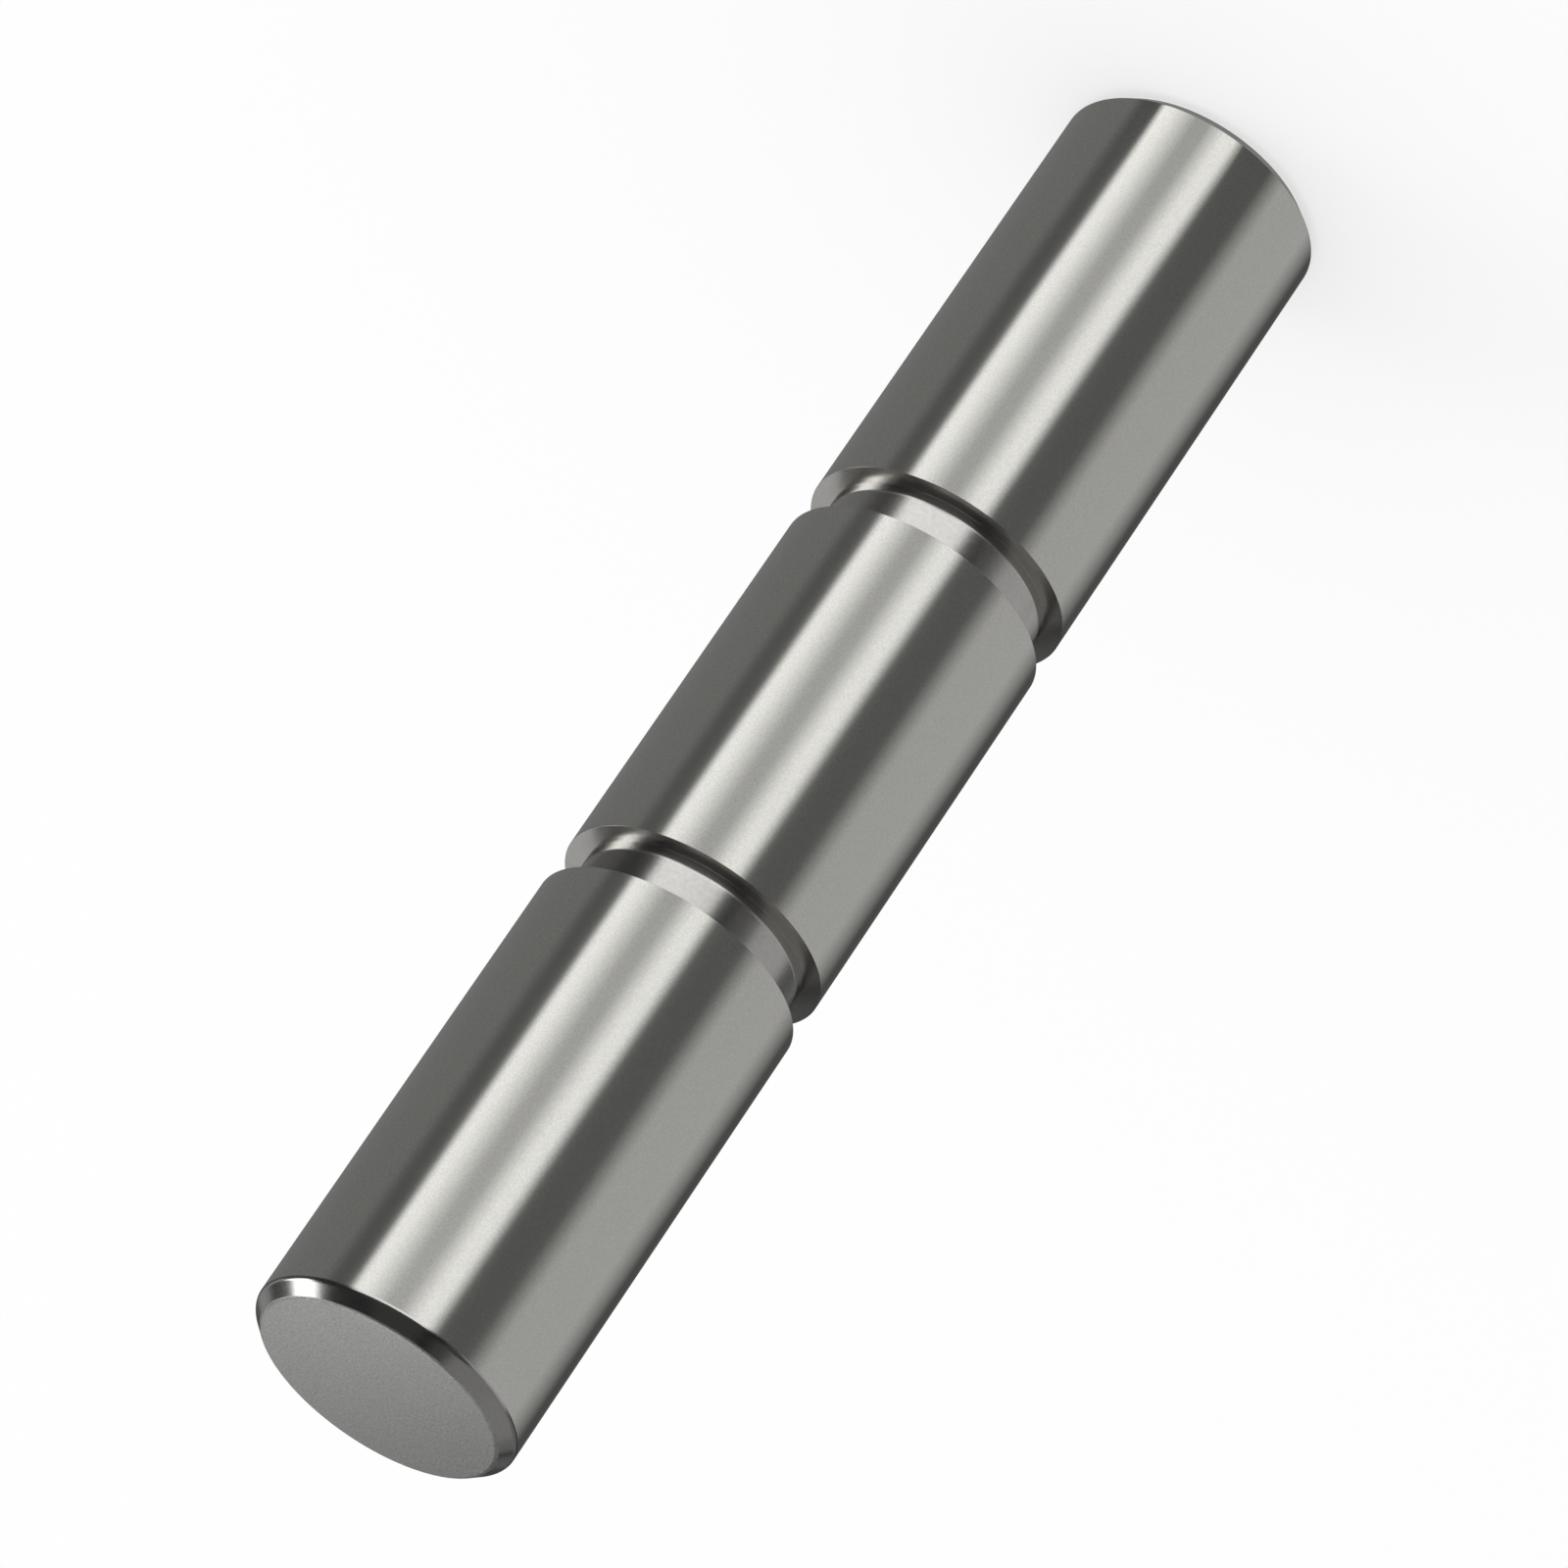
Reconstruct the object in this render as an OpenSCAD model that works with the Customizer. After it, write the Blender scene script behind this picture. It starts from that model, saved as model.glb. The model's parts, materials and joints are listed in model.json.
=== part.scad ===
// Wheel axle of a kick scooter: one turned and ground steel pin with two ring grooves.
// It stands on one end face, with its axis along +Z and that face on z = 0.

/* [Journals] */
// Diameter of the three journals, a sliding fit in the bores of the wheel's bearings
journal_d = 8; // [6:0.5:12]
// Length of the journal at each end, from the end face to the near edge of its groove
end_journal_l = 15; // [8:0.5:25]
// Length of the middle journal, from groove to groove
mid_journal_l = 12; // [6:0.5:30]

/* [Ring grooves] */
// Width of each groove at the surface of the journals
groove_w = 1.5; // [1:0.1:3]
// Depth of each groove, from the journals to its floor
groove_depth = 0.6; // [0.3:0.05:1]
// Radius that the tool's nose leaves along both sides of the groove's floor
groove_corner_r = 0.15; // [0.05:0.05:0.25]
// Bevel that breaks the sharp edge on each rim of a groove
groove_edge = 0.05; // [0.02:0.01:0.1]

/* [Ends] */
// Width of the 45 degree chamfer round each end face, along the axle and across it
end_chamfer = 0.4; // [0.1:0.05:1]

/* [Hidden] */
$fn = 96;

axle_l = 2 * (end_journal_l + groove_w) + mid_journal_l;
journal_r = journal_d / 2;
end_face_r = journal_r - end_chamfer;
groove_floor_r = journal_r - groove_depth;
// Half the distance between the two walls of a groove, inside its bevels
groove_half = groove_w / 2 - groove_edge;
// Heights of the middle of each groove
groove_z = [end_journal_l + groove_w / 2, axle_l - end_journal_l - groove_w / 2];
// How far a cut runs out past the surface that it opens
overrun = 0.5;

// The plain pin before grooving: a cylinder with a chamfer at each end
module turned_blank() {
    rotate_extrude()
        polygon([
            [0, 0],
            [end_face_r, 0],
            [journal_r, end_chamfer],
            [journal_r, axle_l - end_chamfer],
            [end_face_r, axle_l],
            [0, axle_l]
        ]);
}

// One corner of a groove's floor, rounded as the tool's nose leaves it
module nose_corner() {
    translate([groove_floor_r + groove_corner_r, groove_half - groove_corner_r])
        circle(r = groove_corner_r);
}

// Section of the cut for one groove, in radius and height, centred on its own middle:
// a flat floor with rounded corners, square walls, and a bevel on each rim
module groove_section() {
    polygon([
        [groove_floor_r, -groove_half + groove_corner_r],
        [groove_floor_r + groove_corner_r, -groove_half],
        [journal_r - groove_edge, -groove_half],
        [journal_r + overrun, -groove_w / 2 - overrun],
        [journal_r + overrun, groove_w / 2 + overrun],
        [journal_r - groove_edge, groove_half],
        [groove_floor_r + groove_corner_r, groove_half],
        [groove_floor_r, groove_half - groove_corner_r]
    ]);
    nose_corner();
    mirror([0, 1])
        nose_corner();
}

// The ring that a grooving tool takes out as the pin turns
module ring_groove() {
    rotate_extrude()
        groove_section();
}

module axle() {
    color("silver")
        difference() {
            turned_blank();
            for (z = groove_z)
                translate([0, 0, z])
                    ring_groove();
        }
}

axle();
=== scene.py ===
from collections import namedtuple
import json
import math

import bmesh
import bpy
from mathutils import Matrix, Vector


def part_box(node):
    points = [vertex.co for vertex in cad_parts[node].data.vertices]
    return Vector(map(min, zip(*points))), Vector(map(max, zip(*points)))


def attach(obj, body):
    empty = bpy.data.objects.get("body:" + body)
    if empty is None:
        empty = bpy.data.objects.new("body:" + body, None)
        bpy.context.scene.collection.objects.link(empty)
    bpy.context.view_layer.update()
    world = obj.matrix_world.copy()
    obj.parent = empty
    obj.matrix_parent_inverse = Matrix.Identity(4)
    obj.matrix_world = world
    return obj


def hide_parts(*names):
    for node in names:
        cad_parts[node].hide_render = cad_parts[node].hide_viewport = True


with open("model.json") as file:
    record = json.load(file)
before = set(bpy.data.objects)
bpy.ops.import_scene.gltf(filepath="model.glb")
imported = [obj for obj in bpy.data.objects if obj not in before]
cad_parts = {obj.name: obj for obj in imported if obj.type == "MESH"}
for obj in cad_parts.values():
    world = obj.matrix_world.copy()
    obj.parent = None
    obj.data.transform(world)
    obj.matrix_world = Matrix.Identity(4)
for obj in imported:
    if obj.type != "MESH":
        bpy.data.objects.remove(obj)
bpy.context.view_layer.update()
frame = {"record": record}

MM = 0.001

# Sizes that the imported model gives, in metres
PIN_LOW, PIN_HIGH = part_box("axle")
PIN_LENGTH = PIN_HIGH.z - PIN_LOW.z
MOUNTS = {mount["name"]: mount for mount in frame["record"]["mounts"]}
JOURNAL_R = MOUNTS["middle_journal"]["dims"]["r_mm"] * MM

# The depth of the grooves, which the mounts don't give, the same as in the part's source
GROOVE_DEPTH = 0.6 * MM

# Small radii: on the corners of the lower and of the upper chamfer, the lower one crisper as in the
# photograph, and in the corners and on the rims of the grooves. The last is finer than in the part's source,
# because the photograph has no light lines there
LOWER_ROUND = 0.05 * MM
UPPER_ROUND = 0.2 * MM
GROOVE_ROUND = 0.008 * MM

# Fineness of the turned mesh: points around a ring, steps in a rounding, and how far outside a rounding a
# close ring holds its shading
AROUND = 256
ARC_STEPS = 8
HOLD = 0.003 * MM

# How far the tool marks tip a surface, in degrees: outwards on a groove's walls and on the ends, towards the
# upper end on a groove's floor, but for a smooth strip beside its lower wall. Over the strip's edge the tip
# comes in
WALL_TIP = 2.5
END_TIP = 5.0
FLOOR_TIP = 16.0
FLOOR_STRIP = 0.24 * MM
STRIP_EDGE = 0.1 * MM
PLAIN = (0.0, 0.0)

# A corner of the pin's half section: its place, the radius of its rounding, the finish of the stretch that
# starts there and of the rounding, and how far tool marks tip that stretch, outwards and up
Corner = namedtuple("Corner", "radius height rounding finish round_finish tip")
# A ring of the turned mesh: its place, and the finish and the tip of the stretch that starts there
Ring = namedtuple("Ring", "radius height finish tip")

# The steel's lay: long round the pin and fine along it. Its roughness varies in patches, of this many to a
# millimetre, by this share
LAY_STRETCH = (0.03, 0.03, 1.0)
PATCHES = 0.6
ROUGHNESS_SPREAD = 0.08

# Camera, as the photograph was taken: the pin's upper end comes towards it, low on the left
IMAGE_SIZE = 1600
CAMERA_ELEVATION = math.radians(28.38)
CAMERA_DISTANCE = 262.7 * MM
CAMERA_ROLL = math.radians(145.78)
FOCAL_PIXELS = 9807.6
PIN_CENTRE_PIXEL = (818.5, 780.9)
SENSOR = 36.0
CLIP_NEAR, CLIP_FAR = 0.01, 20.0

# The floor lies just under the pin's lower end, and the cards that lie on it just above that end
FLOOR_COLOUR = (0.98, 0.98, 0.98, 1.0)
FLOOR_GLOW = 0.6
FLOOR_SQUARE = ((-4.0, -4.0), (4.0, -4.0), (4.0, 4.0), (-4.0, 4.0))
CARD_LIFT = 0.02 * MM

WORLD_COLOUR = (1.0, 1.0, 1.0, 1.0)
WORLD_LEVEL = 0.94


def span(name):
    """Lowest and highest point of a journal's plain wall."""
    mount = MOUNTS[name]
    middle, half = mount["pos_m"][2], mount["dims"]["length_mm"] * MM / 2
    return middle - half, middle + half


def groove(below, above):
    """Corners of the ring groove between two journals."""
    low, high = span(below)[1], span(above)[0]
    floor_r = JOURNAL_R - GROOVE_DEPTH
    strip_end = low + FLOOR_STRIP
    wall = (math.tan(math.radians(WALL_TIP)), 0.0)
    floor = (0.0, math.tan(math.radians(FLOOR_TIP)))
    return [
        Corner(JOURNAL_R, low, GROOVE_ROUND, "grooved", "grooved", wall),
        Corner(floor_r, low, GROOVE_ROUND, "grooved", "grooved", PLAIN),
        Corner(floor_r, strip_end, 0.0, "grooved", "grooved", PLAIN),
        Corner(floor_r, strip_end + STRIP_EDGE, 0.0, "grooved", "grooved", floor),
        Corner(floor_r, high, GROOVE_ROUND, "grooved", "grooved", wall),
        Corner(JOURNAL_R, high, GROOVE_ROUND, "ground", "grooved", PLAIN),
    ]


def pin_outline():
    """Corners of the pin's half section, from the lower end's centre to the upper end's."""
    chamfer = span("lower_end_journal")[0]
    face_r = JOURNAL_R - chamfer
    end = (math.tan(math.radians(END_TIP)), 0.0)
    return [
        Corner(0.0, 0.0, 0.0, "faced", "faced", end),
        Corner(face_r, 0.0, LOWER_ROUND, "turned", "faced", PLAIN),
        Corner(JOURNAL_R, chamfer, LOWER_ROUND, "ground", "turned", PLAIN),
        *groove("lower_end_journal", "middle_journal"),
        *groove("middle_journal", "upper_end_journal"),
        Corner(JOURNAL_R, PIN_LENGTH - chamfer, UPPER_ROUND, "turned", "turned", PLAIN),
        Corner(face_r, PIN_LENGTH, UPPER_ROUND, "faced", "faced", end),
        Corner(0.0, PIN_LENGTH, 0.0, "faced", "faced", end),
    ]


def rounded(corners):
    """Rings along an outline of corners. Each rounding is held by a close ring on both sides. A corner
    without one is a plain ring, and so are the first and the last."""
    first, last = corners[0], corners[-1]
    rings = [Ring(first.radius, first.height, first.finish, first.tip)]
    for before, here, after in zip(corners, corners[1:], corners[2:]):
        point = Vector((here.radius, here.height))
        if not here.rounding:
            rings.append(Ring(*point, here.finish, here.tip))
            continue
        back = (Vector((before.radius, before.height)) - point).normalized()
        on = (Vector((after.radius, after.height)) - point).normalized()
        half_angle = back.angle(on) / 2
        reach = here.rounding / math.tan(half_angle)
        centre = point + (back + on).normalized() * here.rounding / math.sin(half_angle)
        arc_start, arc_end = point + back * reach - centre, point + on * reach - centre
        rings.append(Ring(*(point + back * (reach + HOLD)), before.finish, before.tip))
        for step in range(ARC_STEPS + 1):
            arm = arc_start.lerp(arc_end, step / ARC_STEPS).normalized() * here.rounding
            rings.append(Ring(*(centre + arm), here.round_finish, PLAIN))
        rings.append(Ring(*(point + on * (reach + HOLD)), here.finish, here.tip))
    rings.append(Ring(last.radius, last.height, last.finish, last.tip))
    return rings


def turned_mesh(name, rings, materials):
    """Mesh turned about Z from rings. Its point attribute tip says how tool marks tip the surface. A ring at
    the centre is one point."""
    bm = bmesh.new()
    loops, tips = [], []
    for ring in rings:
        turns = [2 * math.pi * k / AROUND for k in range(AROUND if ring.radius > 0 else 1)]
        places = [(ring.radius * math.cos(a), ring.radius * math.sin(a), ring.height) for a in turns]
        loops.append([bm.verts.new(place) for place in places])
        outwards, up = ring.tip if ring.radius > 0 else PLAIN
        tips += [(outwards * math.cos(a), outwards * math.sin(a), up) for a in turns]
    order = list(materials)
    for ring, low, high in zip(rings, loops, loops[1:]):
        for k in range(AROUND):
            after = (k + 1) % AROUND
            corners = [low[k % len(low)], low[after % len(low)], high[after % len(high)], high[k % len(high)]]
            face = bm.faces.new(list(dict.fromkeys(corners)))
            face.smooth = True
            face.material_index = order.index(ring.finish)
    mesh = bpy.data.meshes.new(name)
    bm.to_mesh(mesh)
    bm.free()
    attribute = mesh.attributes.new("tip", "FLOAT_VECTOR", "POINT")
    attribute.data.foreach_set("vector", [part for tip in tips for part in tip])
    for material in materials.values():
        mesh.materials.append(material)
    return mesh


def node_material(name):
    """A new material with its node tree and its Principled shader."""
    material = bpy.data.materials.new(name)
    material.use_nodes = True
    return material, material.node_tree, material.node_tree.nodes["Principled BSDF"]


def steel(name, colour, *, roughness, grain, grain_size, lay, lay_pitch, specks):
    """Bare steel: an even grain and lay lines round the axis in the bump, slight specks in the colour.
    Sizes are in millimetres. Grain and lay are the heights of their bumps, specks is a share of the colour.
    The marks tip the surface as its mesh says."""
    material, tree, shader = node_material(name)
    shader.inputs["Metallic"].default_value = 1.0
    nodes, links = tree.nodes, tree.links

    def vector_math(operation, source, operand=None):
        node = nodes.new("ShaderNodeVectorMath")
        node.operation = operation
        links.new(source, node.inputs[0])
        if isinstance(operand, float):
            node.inputs["Scale"].default_value = operand
        elif isinstance(operand, tuple):
            node.inputs[1].default_value = operand
        elif operand:
            links.new(operand, node.inputs[1])
        return node.outputs[0]

    place = nodes.new("ShaderNodeTexCoord")
    in_mm = vector_math("SCALE", place.outputs["Object"], 1 / MM)

    def noise(scale, detail, stretch=None):
        texture = nodes.new("ShaderNodeTexNoise")
        texture.inputs["Scale"].default_value = scale
        texture.inputs["Detail"].default_value = detail
        links.new(vector_math("MULTIPLY", in_mm, stretch) if stretch else in_mm, texture.inputs["Vector"])
        return texture.outputs["Fac"]

    fine = noise(1 / grain_size, detail=2.0)
    lines = noise(1 / lay_pitch, detail=1.0, stretch=LAY_STRETCH)

    speckled = nodes.new("ShaderNodeMix")
    speckled.data_type = "RGBA"
    links.new(fine, speckled.inputs["Factor"])
    for socket, share in (("A", 1 - specks), ("B", 1 + specks)):
        speckled.inputs[socket].default_value = (*(part * share for part in colour), 1.0)
    links.new(speckled.outputs["Result"], shader.inputs["Base Color"])

    patchy = nodes.new("ShaderNodeMapRange")
    links.new(noise(PATCHES, detail=3.0), patchy.inputs["Value"])
    patchy.inputs["To Min"].default_value = roughness * (1 - ROUGHNESS_SPREAD)
    patchy.inputs["To Max"].default_value = roughness * (1 + ROUGHNESS_SPREAD)
    links.new(patchy.outputs["Result"], shader.inputs["Roughness"])

    tip = nodes.new("ShaderNodeAttribute")
    tip.attribute_name = "tip"
    facing = nodes.new("ShaderNodeNewGeometry")
    normal = vector_math("NORMALIZE", vector_math("ADD", facing.outputs["Normal"], tip.outputs["Vector"]))
    for height, source in ((lay, lines), (grain, fine)):
        if height:
            bump = nodes.new("ShaderNodeBump")
            bump.inputs["Strength"].default_value = 1.0
            bump.inputs["Distance"].default_value = height * MM
            links.new(source, bump.inputs["Height"])
            links.new(normal, bump.inputs["Normal"])
            normal = bump.outputs["Normal"]
    links.new(normal, shader.inputs["Normal"])
    return material


def finishes():
    """The four surfaces that one bar of steel gets: ground journals, turned chamfers, grooves and ends."""
    return {
        "ground": steel(
            "ground_steel", (0.64, 0.635, 0.6), roughness=0.15,
            grain=0.0002, grain_size=0.06, lay=0.0001, lay_pitch=0.02, specks=0.16,
        ),
        "turned": steel(
            "turned_steel", (0.60, 0.59, 0.575), roughness=0.18,
            grain=0.0003, grain_size=0.08, lay=0.0002, lay_pitch=0.06, specks=0.1,
        ),
        "grooved": steel(
            "grooved_steel", (0.635, 0.625, 0.6), roughness=0.23,
            grain=0.0004, grain_size=0.12, lay=0.0004, lay_pitch=0.06, specks=0.1,
        ),
        "faced": steel(
            "faced_steel", (0.69, 0.69, 0.677), roughness=0.5,
            grain=0.008, grain_size=0.07, lay=0.0, lay_pitch=0.1, specks=0.4,
        ),
    }


def make_pin():
    """The whole axle as one turned mesh, in place of its plain solid."""
    mesh = turned_mesh("turned_pin", rounded(pin_outline()), finishes())
    pin = bpy.data.objects.new("turned_pin", mesh)
    bpy.context.scene.collection.objects.link(pin)
    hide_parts("axle")
    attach(pin, "root")


def make_camera():
    """A long lens on the pin's centre, rolled so that the pin crosses the picture as in the photograph."""
    centre = Vector((0.0, 0.0, PIN_LENGTH / 2))
    cos_e, sin_e = math.cos(CAMERA_ELEVATION), math.sin(CAMERA_ELEVATION)
    away = Vector((0.0, -cos_e, sin_e))
    side, rise = Vector((1.0, 0.0, 0.0)), Vector((0.0, sin_e, cos_e))
    cos_r, sin_r = math.cos(CAMERA_ROLL), math.sin(CAMERA_ROLL)
    image_x = side * cos_r - rise * sin_r
    image_y = side * sin_r + rise * cos_r
    data = bpy.data.cameras.new("camera")
    data.sensor_width = SENSOR
    data.lens = FOCAL_PIXELS * SENSOR / IMAGE_SIZE
    data.shift_x = (IMAGE_SIZE / 2 - PIN_CENTRE_PIXEL[0]) / IMAGE_SIZE
    data.shift_y = (PIN_CENTRE_PIXEL[1] - IMAGE_SIZE / 2) / IMAGE_SIZE
    data.clip_start, data.clip_end = CLIP_NEAR, CLIP_FAR
    camera = bpy.data.objects.new("camera", data)
    turn = Matrix((image_x, image_y, away)).transposed()
    camera.matrix_world = Matrix.Translation(centre + away * CAMERA_DISTANCE) @ turn.to_4x4()
    bpy.context.scene.collection.objects.link(camera)
    bpy.context.scene.camera = camera


def stage_object(name, mesh):
    """An object of the set, which isn't part of the axle."""
    piece = bpy.data.objects.new(name, mesh)
    bpy.context.scene.collection.objects.link(piece)
    return piece


def make_floor():
    """A plain white floor, wide enough for every view. The camera and reflections see its shadows
    softened."""
    material, tree, shader = node_material("floor_white")
    shader.inputs["Base Color"].default_value = FLOOR_COLOUR
    shader.inputs["Roughness"].default_value = 1.0
    shader.inputs["Specular IOR Level"].default_value = 0.0
    nodes, links = tree.nodes, tree.links
    path = nodes.new("ShaderNodeLightPath")
    seen = nodes.new("ShaderNodeMath")
    seen.operation = "MAXIMUM"
    links.new(path.outputs["Is Camera Ray"], seen.inputs[0])
    links.new(path.outputs["Is Glossy Ray"], seen.inputs[1])
    share = nodes.new("ShaderNodeMath")
    share.operation = "MULTIPLY"
    links.new(seen.outputs[0], share.inputs[0])
    share.inputs[1].default_value = FLOOR_GLOW
    glow = nodes.new("ShaderNodeEmission")
    both = nodes.new("ShaderNodeMixShader")
    links.new(share.outputs[0], both.inputs["Fac"])
    links.new(shader.outputs[0], both.inputs[1])
    links.new(glow.outputs[0], both.inputs[2])
    links.new(both.outputs[0], nodes["Material Output"].inputs["Surface"])
    mesh = bpy.data.meshes.new("floor")
    mesh.from_pydata([(x, y, -CARD_LIFT) for x, y in FLOOR_SQUARE], [], [(0, 1, 2, 3)])
    mesh.materials.append(material)
    stage_object("floor", mesh)


def card_material():
    """A lit studio card: it shines as brightly as its mesh says."""
    material = bpy.data.materials.new("studio_card")
    material.cycles.emission_sampling = "NONE"
    material.use_nodes = True
    nodes, links = material.node_tree.nodes, material.node_tree.links
    nodes.clear()
    level = nodes.new("ShaderNodeAttribute")
    level.attribute_name = "level"
    glow = nodes.new("ShaderNodeEmission")
    out = nodes.new("ShaderNodeOutputMaterial")
    links.new(level.outputs["Fac"], glow.inputs["Strength"])
    links.new(glow.outputs["Emission"], out.inputs["Surface"])
    return material


def card(name, rows, levels, material):
    """A card made of rows of points, each row at one level, that only reflections see."""
    width = len(rows[0])
    faces = []
    for row in range(len(rows) - 1):
        for k in range(width - 1):
            a = row * width + k
            faces.append((a, a + 1, a + width + 1, a + width))
    mesh = bpy.data.meshes.new(name)
    mesh.from_pydata([point for row in rows for point in row], [], faces)
    mesh.materials.append(material)
    shine = mesh.attributes.new("level", "FLOAT", "POINT")
    shine.data.foreach_set("value", [level for level, row in zip(levels, rows) for _ in row])
    piece = stage_object(name, mesh)
    piece.visible_camera = False
    piece.visible_diffuse = False
    piece.visible_shadow = False


# The studio as the steel mirrors it: cards round the pin that only reflections see. A turn is an angle about
# the pin from the camera's side, towards +X, and a lift is an angle above the floor. Levels are plain
# brightness. Near the pin its upright walls mirror the floor, which gives it its long stripes: turn from and
# to, then the level at each
NEAR_FLOOR = (
    ("left_end", 180.0, 162.0, 0.14, 0.2),
    ("left_card", 162.0, 90.0, 0.2, 0.2),
    ("left_flag", 79.0, 64.5, 0.11, 0.11),
    ("light_from_left", 59.0, 50.0, 1.33, 1.18),
    ("light_dip", 31.0, 20.0, 0.5, 0.5),
    ("light_from_right", 5.0, -5.0, 1.16, 1.16),
    ("front_flag", -13.8, -43.0, 0.12, 0.12),
    ("right_card", -60.0, -112.0, 0.49, 0.49),
    ("rear_flag", -145.0, -162.0, 0.08, 0.08),
    ("rear_end", -162.0, -180.0, 0.08, 0.14),
)
# Farther out, the floors of the grooves mirror the floor
FAR_FLOOR = (
    ("left_end", 180.0, 162.0, 0.07, 0.09),
    ("left_back_flag", 162.0, 96.0, 0.09, 0.09),
    ("left_flag", 88.0, 60.0, 0.035, 0.035),
    ("light", 55.0, -4.0, 1.25, 1.25),
    ("front_flag", -9.0, -34.0, 0.04, 0.04),
    ("right_card", -42.0, -90.0, 0.42, 0.42),
    ("rear_flag", -102.0, -162.0, 0.05, 0.05),
    ("rear_end", -162.0, -180.0, 0.05, 0.07),
)
# Above the horizon stand columns of cards, for the chamfers, the walls of the grooves and the ends: turn from
# and to, then the lift at which each card of the column ends, and its level
COLUMNS = (
    ("left_back", 180.5, 162.0, ((12.0, 0.08), (42.0, 0.5), (70.0, 1.3), (90.0, 0.12))),
    ("left_wing", 162.0, 123.0, ((14.0, 0.3), (44.0, 0.06), (70.0, 0.7), (90.0, 0.12))),
    ("soft_box", 123.0, 104.0, ((15.0, 0.07), (47.0, 2.3), (90.0, 0.1))),
    ("soft_box_side", 104.0, 97.0, ((15.0, 0.07), (33.0, 2.0), (90.0, 0.03))),
    ("left_dark", 97.0, 57.0, ((90.0, 0.025),)),
    ("window", 57.0, -6.0, ((11.0, 1.25), (90.0, 0.05))),
    ("front_dark", -6.0, -24.0, ((90.0, 0.02),)),
    ("right_shade", -24.0, -48.0, ((10.0, 0.1), (70.0, 0.06), (90.0, 0.035))),
    ("right_grey", -48.0, -95.0, ((10.0, 0.42), (70.0, 0.23), (90.0, 0.035))),
    ("right_low", -95.0, -142.0, ((24.0, 0.17), (70.0, 0.25), (90.0, 0.1))),
    ("right_back", -142.0, -179.5, ((12.0, 0.13), (46.0, 0.01), (70.0, 0.6), (90.0, 0.1))),
)
# How far from the pin the near floor, the far floor and the columns reach, and how many degrees a facet spans
NEAR_REACH = 0.125
FAR_REACH = 0.6
STAND_REACH = 0.61
CARD_SPAN = 4.0
# A strip on the floor is cut across at these shares of its reach
REACH_SHARES = (0.0, 0.1, 0.4, 1.0)
# Behind the pin a strip of light fades out between the ends of the floors' rings: distance and level
BACK_STRIP = ((0.0045, 0.95), (0.02, 0.7), (0.05, 0.25), (0.126, 0.14), (0.6, 0.07))
# Under the rim of the lower end lies a ring of shade, which the lower chamfer mirrors: its radii, its level
# and the degrees that a facet spans
RIM_SHADE = (JOURNAL_R - 0.6 * MM, JOURNAL_R + 0.2 * MM)
RIM_LEVEL = 0.25
RIM_SPAN = 5


def toward(turn, lift=0.0):
    """Unit vector at a turn about the pin and a lift above the floor, both in degrees."""
    turn, lift = math.radians(turn), math.radians(lift)
    return Vector((math.sin(turn) * math.cos(lift), -math.cos(turn) * math.cos(lift), math.sin(lift)))


def floor_cards(name, sectors, reach_from, reach_to, material):
    """A ring of strips on the floor, each where the wall at half its turn mirrors the floor. The level
    changes evenly along each sector, and from its end to the next one's start."""
    reaches = [reach_from + (reach_to - reach_from) * share for share in REACH_SHARES]
    ends = []
    for _, start, end, level_start, level_end in sectors:
        ends += [(start, level_start), (end, level_end)]
    rows, levels = [], []
    for (turn_a, level_a), (turn_b, level_b) in zip(ends, ends[1:]):
        steps = max(1, math.ceil(abs(turn_b - turn_a) / CARD_SPAN))
        for k in range(steps + 1):
            share = k / steps
            turn = turn_a + (turn_b - turn_a) * share
            foot = toward(turn / 2) * JOURNAL_R + Vector((0, 0, CARD_LIFT))
            rows.append([foot + toward(turn) * reach for reach in reaches])
            levels.append(level_a + (level_b - level_a) * share)
    card(name, rows, levels, material)


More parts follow.
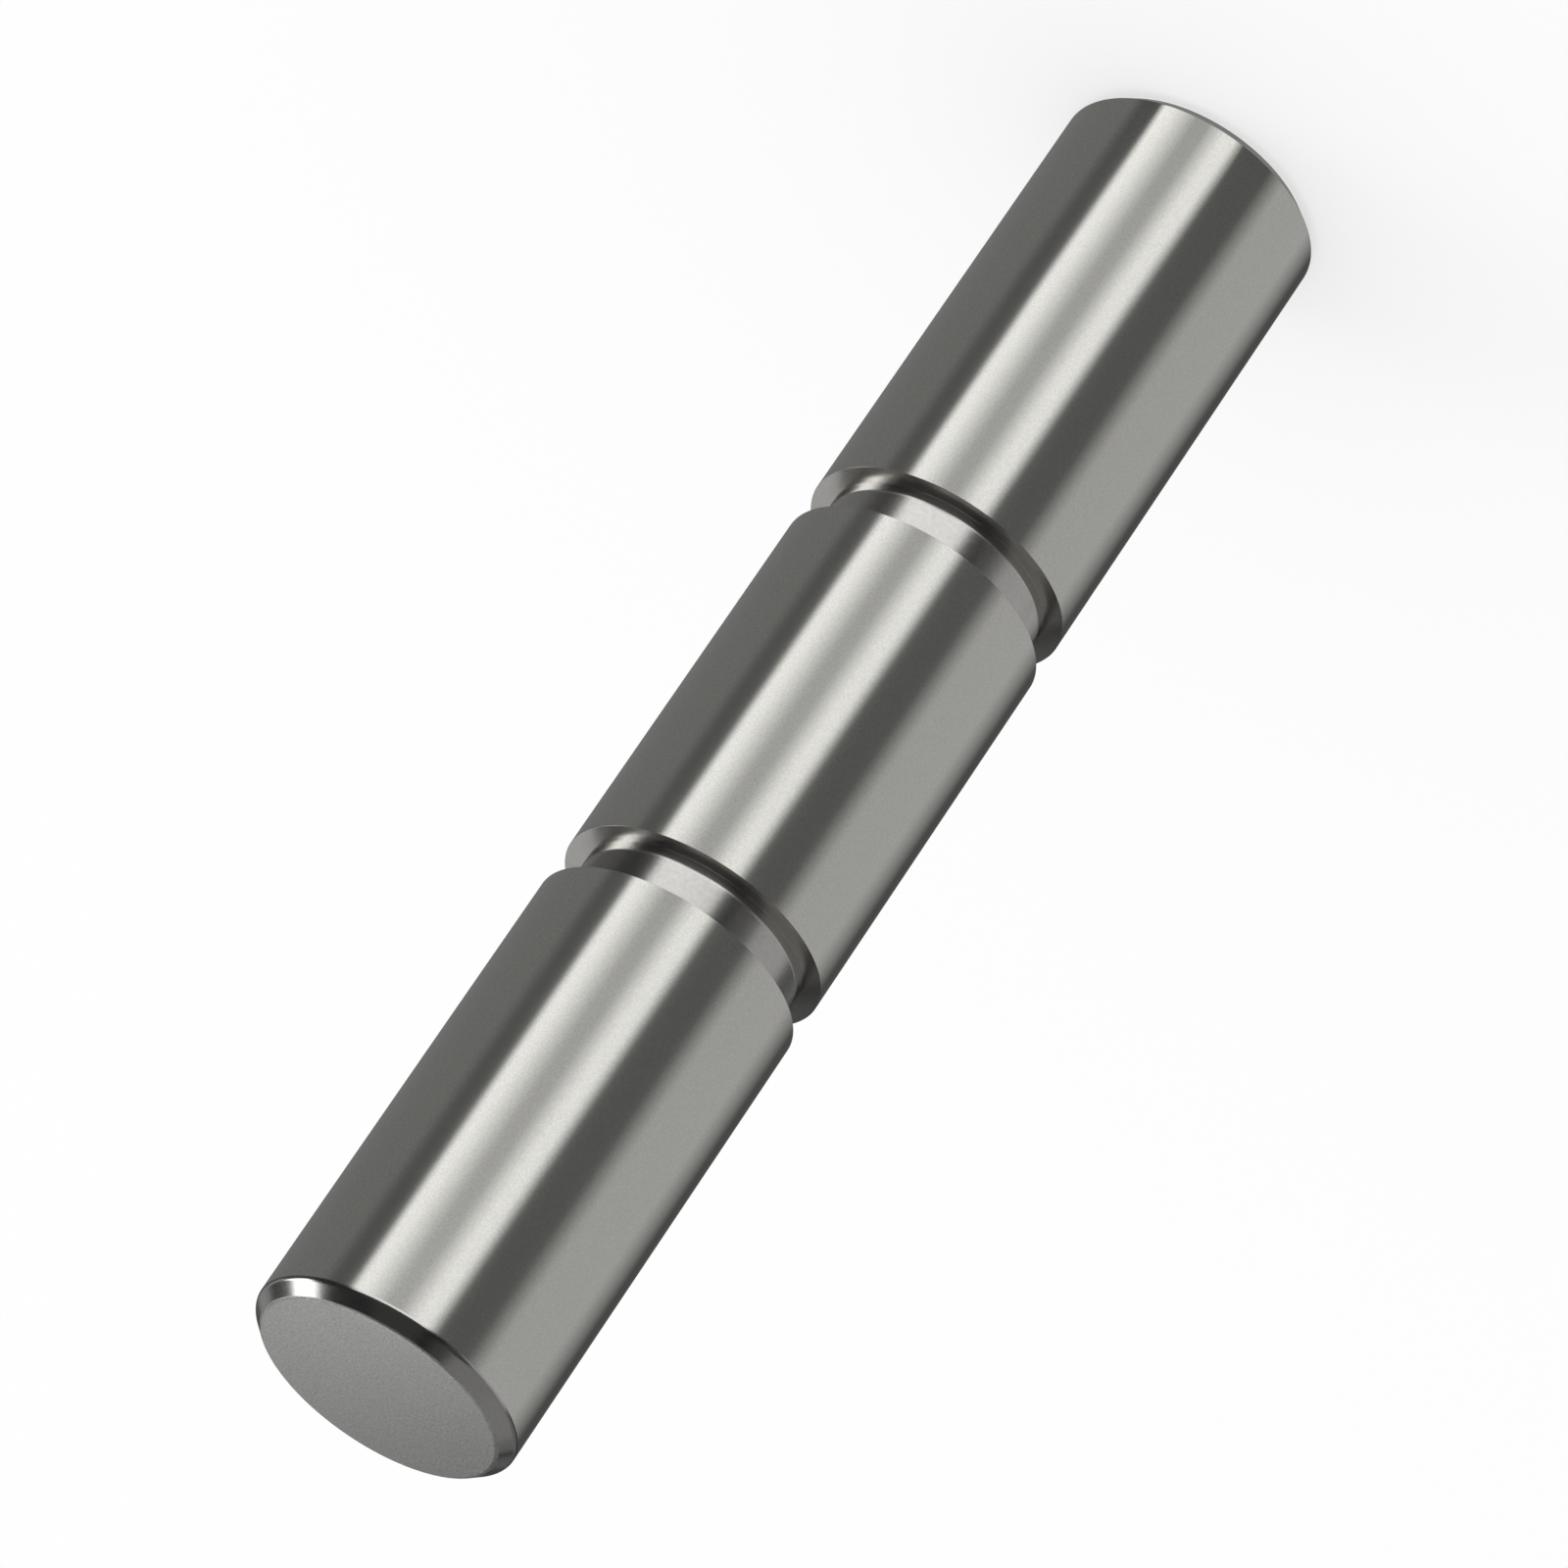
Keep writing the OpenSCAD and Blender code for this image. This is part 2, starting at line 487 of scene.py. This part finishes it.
def standing_cards(material):
    """Columns of cards round the set, each card a curved patch at one level."""
    for name, start, end, stack in COLUMNS:
        across = max(1, math.ceil(abs(end - start) / CARD_SPAN))
        turns = [start + (end - start) * j / across for j in range(across + 1)]
        rows, levels, low = [], [], 0.0
        for high, level in stack:
            up = max(1, math.ceil((high - low) / CARD_SPAN))
            for k in range(up + 1):
                lift = low + (high - low) * k / up
                rows.append([toward(turn, lift) * STAND_REACH for turn in turns])
                levels.append(level)
            low = high
        card(name, rows, levels, material)


def rim_card(material):
    """The ring of shade under the rim of the lower end."""
    up = Vector((0, 0, CARD_LIFT))
    rows = [[toward(turn) * reach + up for reach in RIM_SHADE] for turn in range(0, 361, RIM_SPAN)]
    card("rim_shade", rows, [RIM_LEVEL] * len(rows), material)


def back_card(material):
    """The strip of light on the floor behind the pin, as wide as the pin."""
    rows = [[Vector((x, reach, CARD_LIFT)) for x in (-JOURNAL_R, JOURNAL_R)] for reach, _ in BACK_STRIP]
    card("back_strip", rows, [level for _, level in BACK_STRIP], material)


def area_lamp(name, *, turn, lift, distance, size, radiance):
    """A round soft lamp that faces the pin's middle, as bright as its radiance says."""
    data = bpy.data.lights.new(name, "AREA")
    data.shape = "DISK"
    data.size = size
    data.energy = radiance * math.pi * math.pi * (size / 2) ** 2
    lamp = bpy.data.objects.new(name, data)
    back = toward(turn, lift)
    lamp.location = Vector((0, 0, PIN_LENGTH / 2)) + back * distance
    lamp.rotation_mode = "QUATERNION"
    lamp.rotation_quaternion = back.to_track_quat("Z", "Y")
    bpy.context.scene.collection.objects.link(lamp)
    lamp.visible_camera = False
    lamp.visible_glossy = False


def make_light():
    """Even white light from all round, one soft lamp on the left, and the cards that the steel mirrors."""
    world = bpy.data.worlds.new("studio")
    bpy.context.scene.world = world
    world.use_nodes = True
    sky = world.node_tree.nodes["Background"]
    sky.inputs["Color"].default_value = WORLD_COLOUR
    sky.inputs["Strength"].default_value = WORLD_LEVEL
    area_lamp("soft_box", turn=111.0, lift=31.0, distance=0.5, size=0.28, radiance=1.5)
    material = card_material()
    floor_cards("near_floor_cards", NEAR_FLOOR, 0.0, NEAR_REACH, material)
    floor_cards("far_floor_cards", FAR_FLOOR, NEAR_REACH, FAR_REACH, material)
    standing_cards(material)
    rim_card(material)
    back_card(material)


make_camera()
make_pin()
make_floor()
make_light()
bpy.context.scene.view_settings.view_transform = "Standard"
